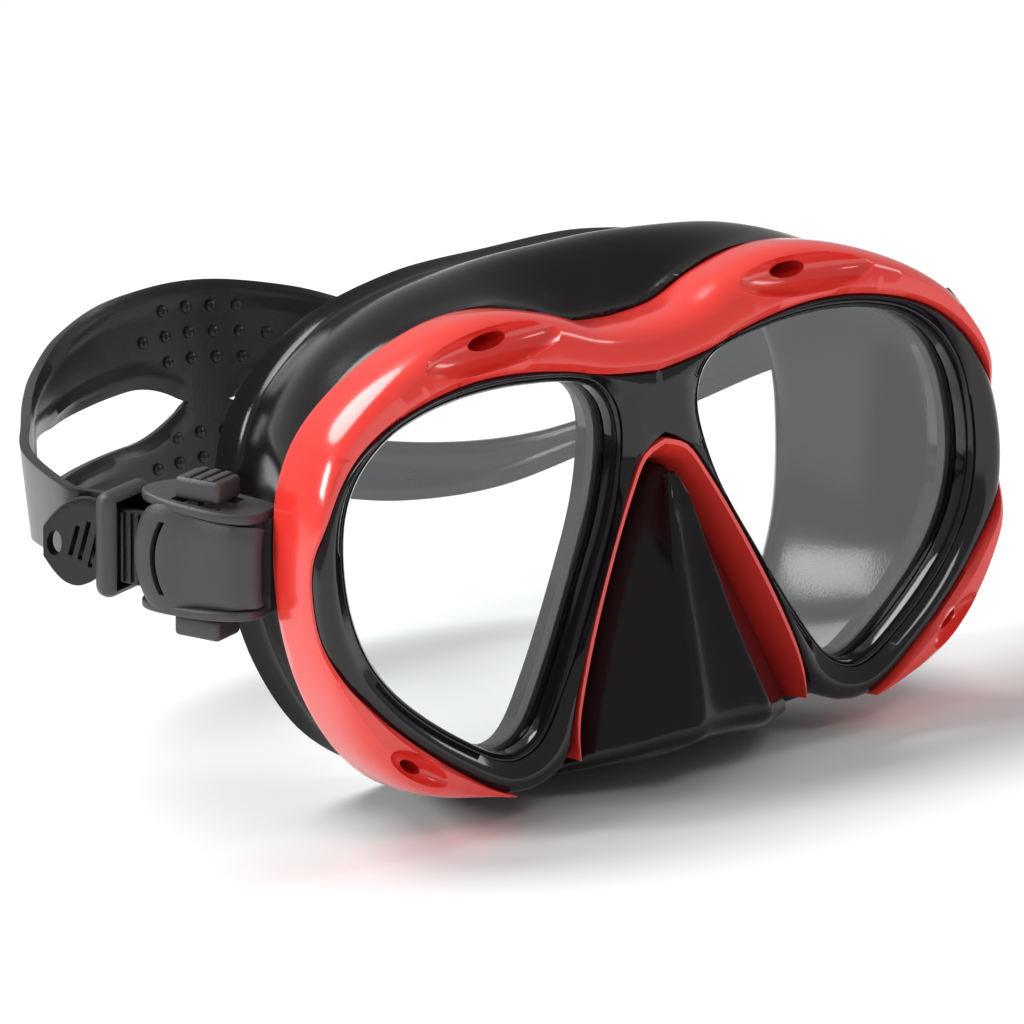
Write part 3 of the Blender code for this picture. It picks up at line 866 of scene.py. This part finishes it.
# Upper and lower release keys on their stems, the upper one ribbed
def makeKeys(axes, word):
    shape = buckleShape
    foot, top, stemFoot = shape["keyFoot"], shape["keyFoot"] + shape["keyRise"], shape["stemFoot"]
    for face, label in ((1, "upper"), (-1, "lower")):
        low, high = sorted((face * foot, face * top))
        key = block((3.4, -3.0, low), (13.6, 5.2, high), axes, bevel=0.9, segments=3)
        low, high = sorted((face * stemFoot, face * (foot + 0.6)))
        extras = [block((8.9, 1.9, low), (11.1, 3.9, high), axes)]
        if label == "upper":
            for k in range(3):
                start = 5.0 + 2.6 * k
                extras.append(block((start, -2.4, top - 0.2), (start + 1.6, 4.6, top + 0.45), axes,
                                    bevel=0.3))
        joined(key, extras)
        key.name = f"{label}_release_{word}"
        publish(smoothed(key, 40), "nylonGrain", f"{label}_key_{word}", f"{label}_button_{word}")


def makePins(axes, word):
    pins = [   # name, place, body, replaced node, radius, length
        ("swivel", (0, 0), "mask", "hinge_pin", 1.2, 20.8),
        ("axle", buckle["roller"], f"buckle_{word}", "roller_pin", 0.9, 19.6),
        ("catch", buckle["catch"], f"buckle_{word}", "pawl_pin", 0.8, 19.6),
    ]
    for label, place, body, node, radius, length in pins:
        deselectAll()
        bpy.ops.mesh.primitive_cylinder_add(vertices=28, radius=radius, depth=length)
        pin = bpy.context.active_object
        pin.data.transform(Matrix.Translation((*place, 0)))
        rounded(settle(pin, axes), 0.0003, 2, 50)
        pin.name = f"{label}_pin_{word}"
        publish(smoothed(pin, 40), "steelBrushed", body, f"{node}_{word}")


def makeKeeper(axes, word):
    keeper = buckleShape["keeper"]
    (s0, s1), (n0, n1), half, wall = keeper["s"], keeper["n"], keeper["t"], keeper["wall"]
    loop = block((s0, n0, -half), (s1, n1, half), axes)
    applied(loop, "BEVEL", width=0.0026, segments=5, limit_method="ANGLE", angle_limit=1.0)
    opening = block((s0 - 5, n0 + wall, wall - half), (s1 + 5, n1 - wall, half - wall), axes)
    carved(loop, opening)
    rounded(loop, 0.0005, 2, 40)
    loop.name = f"keeper_loop_{word}"
    publish(smoothed(loop, 40), "nylonGrain", f"keeper_{word}", f"strap_keeper_{word}")


def makeBuckles():
    for side in (1, -1):
        axes, word = buckleAxes(side), sideWord[side]
        makeBody(axes, word)
        makeCover(axes, word)
        makeKeys(axes, word)
        makePins(axes, word)
        makeKeeper(axes, word)
        print(f"{word} buckle made")


makeStraps()
makeStrapEnds()
makeBuckles()


# Camera, light and floor

studio = {
    "cameraPlace": (-0.75288, -1.17888, 0.35627),
    "cameraAim": (-0.02278, -0.05657, 0.05668),
    "cameraRoll": -6.27,
    "focalLength": 246.1,
    "sensorWidth": 36,
    "world": (1.0, 1.0, 1.0),
    "worldStrength": 0.38,
    "sunFrom": (-0.25, 0.55, 1.0),
    "sunSpread": 34,
    "sunStrength": 2.3,
    "lamps": [   # name, place, aim, width, height, watts
        ("keySide", (-1.1, 0.25, 0.75), (-0.05, -0.05, 0.08), 0.3, 0.42, 7),
        ("farSide", (1.5, -0.5, 0.9), (0, -0.05, 0.06), 0.3, 0.9, 4),
        ("front", (-0.3, -1.7, 1.2), (0, -0.05, 0.06), 0.7, 0.3, 5),
    ],
}


def makeStudio():
    lens = bpy.data.cameras.new("studioCamera")
    camera = bpy.data.objects.new("studioCamera", lens)
    bpy.context.scene.collection.objects.link(camera)
    lens.lens = studio["focalLength"]
    lens.sensor_width = studio["sensorWidth"]
    lens.clip_end = 50
    place, aim = Vector(studio["cameraPlace"]), Vector(studio["cameraAim"])
    forward = (aim - place).normalized()
    level = forward.cross(Vector((0, 0, 1))).normalized()
    rise = level.cross(forward)
    roll = math.radians(studio["cameraRoll"])
    right = level * math.cos(roll) + rise * math.sin(roll)
    up = right.cross(forward)
    camera.matrix_world = Matrix((
        (right.x, up.x, -forward.x, place.x), (right.y, up.y, -forward.y, place.y),
        (right.z, up.z, -forward.z, place.z), (0, 0, 0, 1)))
    bpy.context.scene.camera = camera

    for name, place, aim, width, height, watts in studio["lamps"]:
        lamp = bpy.data.lights.new(name, "AREA")
        lamp.shape = "RECTANGLE"
        lamp.size, lamp.size_y, lamp.energy = width, height, watts
        holder = bpy.data.objects.new(name, lamp)
        bpy.context.scene.collection.objects.link(holder)
        holder.location = place
        holder.rotation_euler = (Vector(aim) - Vector(place)).to_track_quat("-Z", "Y").to_euler()

    sun = bpy.data.lights.new("skyPanel", "SUN")
    sun.energy = studio["sunStrength"]
    sun.angle = math.radians(studio["sunSpread"])
    sunHolder = bpy.data.objects.new("skyPanel", sun)
    bpy.context.scene.collection.objects.link(sunHolder)
    sunHolder.rotation_euler = (-Vector(studio["sunFrom"])).to_track_quat("-Z", "Y").to_euler()

    world = bpy.context.scene.world or bpy.data.worlds.new("studioWorld")
    bpy.context.scene.world = world
    world.use_nodes = True
    sky = world.node_tree.nodes["Background"]
    sky.inputs["Color"].default_value = (*studio["world"], 1)
    sky.inputs["Strength"].default_value = studio["worldStrength"]

    deselectAll()
    bpy.ops.mesh.primitive_plane_add(size=30, location=(0, 0, 0))
    floor = bpy.context.active_object
    floor.name = "studio_floor"
    paper = Finish("paperFloor", Specular_IOR_Level=0.1)
    cloud = paper.noise(2, 2)
    shade = paper.blend(cloud, (0.90, 0.90, 0.90), (0.93, 0.93, 0.93))
    paper.feed(paper.shader.inputs["Base Color"], shade)
    paper.feed(paper.shader.inputs["Roughness"], cloud * 0.1 + 0.8)
    floor.data.materials.append(paper.material)
    bpy.context.scene.view_settings.view_transform = "Standard"
    bpy.context.scene.view_settings.look = "None"


makeStudio()
print("studio made")
